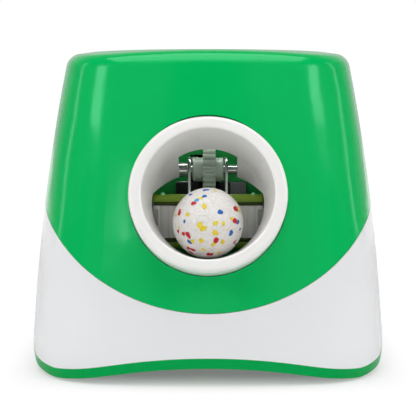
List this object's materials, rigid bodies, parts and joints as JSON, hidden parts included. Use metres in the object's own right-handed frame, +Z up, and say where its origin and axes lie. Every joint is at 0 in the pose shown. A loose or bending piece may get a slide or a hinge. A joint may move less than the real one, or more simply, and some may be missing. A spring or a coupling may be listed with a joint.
{
  "type": "automatic dog ball launcher",
  "caption": "Rounded-square automatic ball launcher with a top hopper, tilted front launch tube, spring striker with gear drive, loaded ball, battery door and rear buttons.",
  "frame": {"origin": "centre of the footprint, at the level of the rubber feet's undersides", "axes": "+Z up; the launch tube opens towards -Y; +X is to the right as seen from the front"},
  "size_m": [0.272, 0.2828, 0.2336],
  "materials": {
    "green_gloss": "gloss moulded green",
    "white_gloss": "gloss moulded white",
    "tube_white": "satin-gloss white",
    "green_inner": "satin green",
    "olive_rubber": "matt",
    "black_plastic": "satin black",
    "grey_plastic": "satin grey",
    "nylon": "translucent nylon",
    "paddle_white": "satin white",
    "steel_bright": "polished",
    "steel": "plain",
    "brass": "plain",
    "foot_rubber": "matt black",
    "ball_foam": "speckled foam rubber",
    "board": "solder mask on laminate",
    "cell_wrap": "plain sleeve",
    "lens": "frosted",
    "pad_rubber": "matt"
  },
  "bodies": {
    "striker": {"striker_shaft": "steel_bright", "shaft_sleeve": "steel_bright", "shaft_clips": "steel", "striker_hub": "nylon", "striker_gear": "nylon", "striker_bail": "steel_bright", "striker_paddle": "paddle_white", "paddle_pads": "olive_rubber"},
    "drive": {"drive_gear": "nylon", "drive_shaft": "steel"},
    "motor_rotor": {"motor_pinion": "brass"},
    "battery_cover": {"battery_door": "green_gloss"},
    "power_key": {"power_button": "grey_plastic"},
    "distance_key": {"distance_button": "grey_plastic"},
    "loaded_ball": {"ball": "ball_foam"},
    "housing": {"base_pan": "green_gloss", "battery_tray": "black_plastic", "battery_cells": "cell_wrap", "lower_shell": "white_gloss", "upper_shell": "green_gloss", "rubber_feet": "foot_rubber", "case_screws": "steel", "hopper_bowl": "green_gloss", "feed_throat": "green_inner", "feed_elbow": "green_inner", "launch_tube": "tube_white", "chamber_floor": "green_inner", "side_bracket_left": "green_inner", "side_bracket_right": "green_inner", "rear_bulkhead": "green_inner", "stop_bumpers": "pad_rubber", "torsion_spring": "steel", "gearbox_case": "black_plastic", "gearbox_cover": "grey_plastic", "motor_can": "steel", "control_panel": "white_gloss", "circuit_board": "board", "indicator_lens": "lens", "dc_jack": "black_plastic"}
  },
  "joints": [
    {"name": "striker_swing", "type": "hinge", "parent": "housing", "child": "striker", "pos_m": [0, -0.04859, 0.1458], "axis": [1, 0, 0], "range_deg": [0, 75], "stiffness_Nm_per_rad": 0.02, "springref_deg": -34.38},
    {"name": "drive_gear_turn", "type": "hinge", "parent": "housing", "child": "drive", "pos_m": [0, -0.01634, 0.1458], "axis": [1, 0, 0], "range_deg": [-60, 0]},
    {"name": "motor_pinion_turn", "type": "hinge", "parent": "housing", "child": "motor_rotor", "pos_m": [0, -0.00594, 0.1398], "axis": [1, 0, 0], "range_deg": [0, 119]},
    {"name": "battery_door_hinge", "type": "hinge", "parent": "housing", "child": "battery_cover", "pos_m": [0, 0.01141, 0.016], "axis": [1, 0, 0], "range_deg": [-95, 0]},
    {"name": "power_button_press", "type": "slide", "parent": "housing", "child": "power_key", "axis": [0, -1, 0], "range_m": [0, 0.0014], "stiffness_N_per_m": 600, "springref_m": -0.0005},
    {"name": "distance_button_press", "type": "slide", "parent": "housing", "child": "distance_key", "axis": [0, -1, 0], "range_m": [0, 0.0014], "stiffness_N_per_m": 600, "springref_m": -0.0005},
    {"name": "ball_launch", "type": "slide", "parent": "housing", "child": "loaded_ball", "axis": [0, -0.9914, 0.1309], "range_m": [0, 0.15]}
  ],
  "couplings": [
    {"joint": "drive_gear_turn", "follows": "striker_swing", "ratio": -0.79167},
    {"joint": "motor_pinion_turn", "follows": "striker_swing", "ratio": 1.5833}
  ]
}
